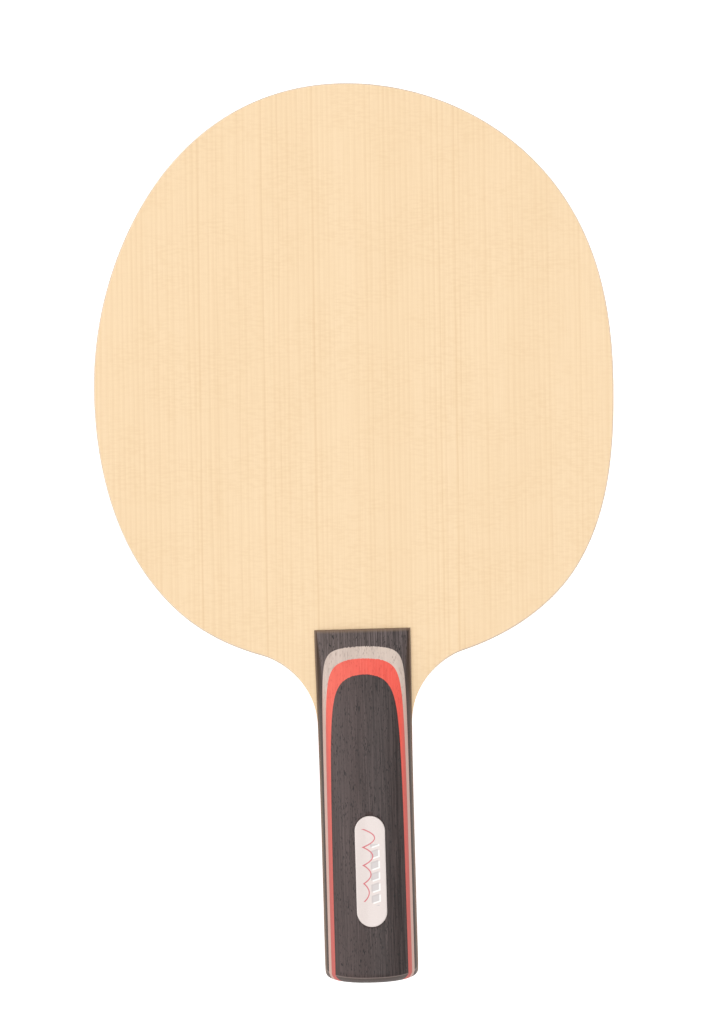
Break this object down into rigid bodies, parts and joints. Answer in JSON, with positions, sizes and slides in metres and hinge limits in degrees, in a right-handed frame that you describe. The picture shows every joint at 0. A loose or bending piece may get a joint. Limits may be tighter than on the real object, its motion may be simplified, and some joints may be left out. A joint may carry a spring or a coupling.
{
  "type": "table tennis paddle",
  "caption": "Bare laminated table tennis blade with an oval wooden head and a straight handle of dyed veneers with a small inlaid nameplate.",
  "frame": {"origin": "below the middle of the bounding box, level with the crown of the back handle scale", "axes": "+Y along the handle towards the toe of the head, +Z square out of the front face, +X to the right seen from the front with the head up"},
  "size_m": [0.15, 0.2588, 0.0226],
  "materials": {
    "pale_wood": "fine straight-grained pale veneer, sanded, thin matt lacquer",
    "inner_wood": "sanded veneer edge",
    "core_wood": "light open-grained core wood, sanded edge",
    "fibre": "woven fibre layer set in glue, sanded edge",
    "black_wood": "charcoal dyed open-pored veneer, satin",
    "grey_wood": "light grey dyed veneer, satin",
    "red_wood": "coral red dyed veneer, satin",
    "plate": null
  },
  "bodies": {
    "root": {"back_fibre_ply": "fibre", "back_handle_base": "black_wood", "back_handle_grey_ply": "grey_wood", "back_handle_red_ply": "red_wood", "back_handle_top": "black_wood", "back_inner_ply": "inner_wood", "back_outer_ply": "pale_wood", "core_ply": "core_wood", "front_fibre_ply": "fibre", "front_handle_base": "black_wood", "front_handle_grey_ply": "grey_wood", "front_handle_red_ply": "red_wood", "front_handle_top": "black_wood", "front_inner_ply": "inner_wood", "front_outer_ply": "pale_wood", "nameplate": "plate"}
  },
  "joints": []
}
